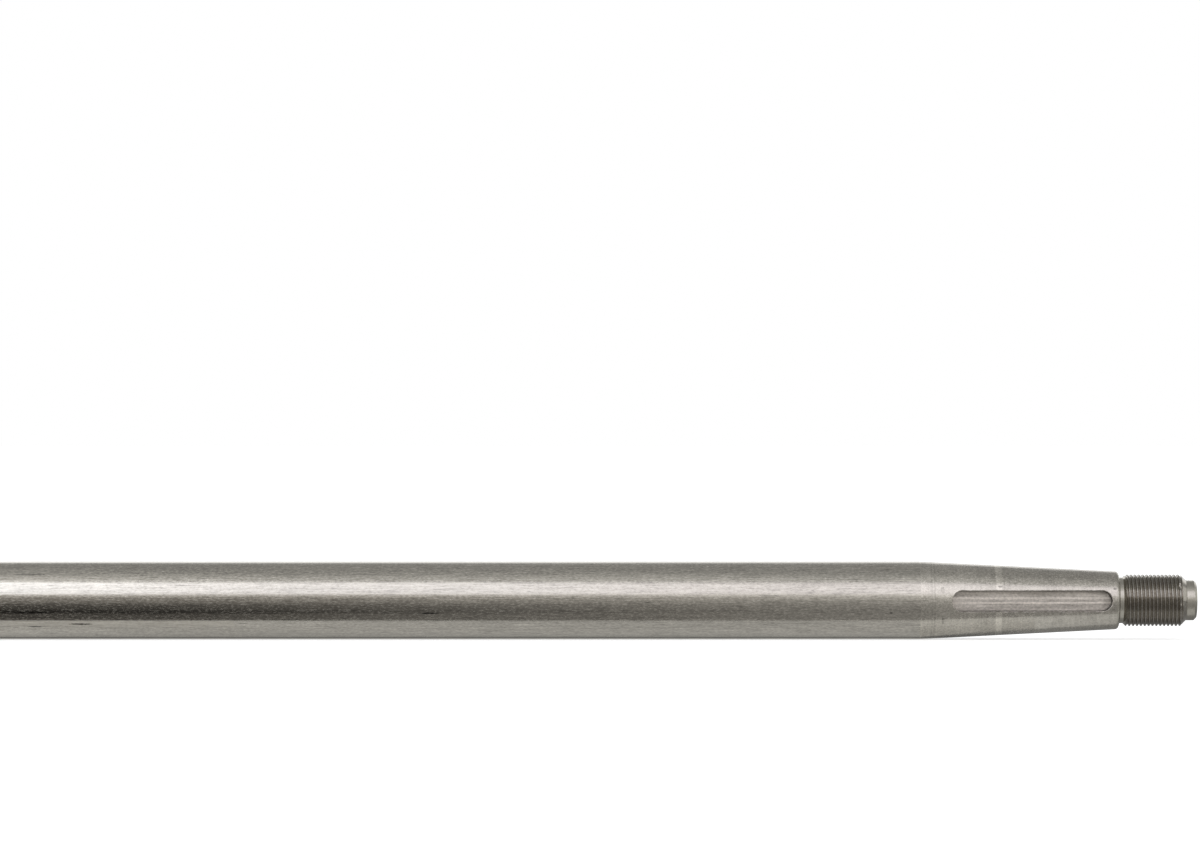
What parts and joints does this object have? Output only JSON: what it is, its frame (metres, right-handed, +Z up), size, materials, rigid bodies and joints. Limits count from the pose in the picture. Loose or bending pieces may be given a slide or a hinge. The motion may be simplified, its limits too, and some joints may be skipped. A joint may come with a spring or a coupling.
{
  "type": "propeller shaft",
  "caption": "Round stainless bar with a plain inboard end and a tapered propeller seat with a round-ended keyway, a relief groove, a fine thread for the nut and a plain dog point.",
  "frame": {"origin": "on the axis, where the full bar meets the propeller taper", "axes": "+X along the axis towards the nut end, +Z up, keyway opening towards -Y"},
  "size_m": [1, 0.03, 0.03],
  "materials": {
    "stainless_steel": "satin"
  },
  "bodies": {
    "root": {"shaft": "stainless_steel"}
  },
  "joints": []
}
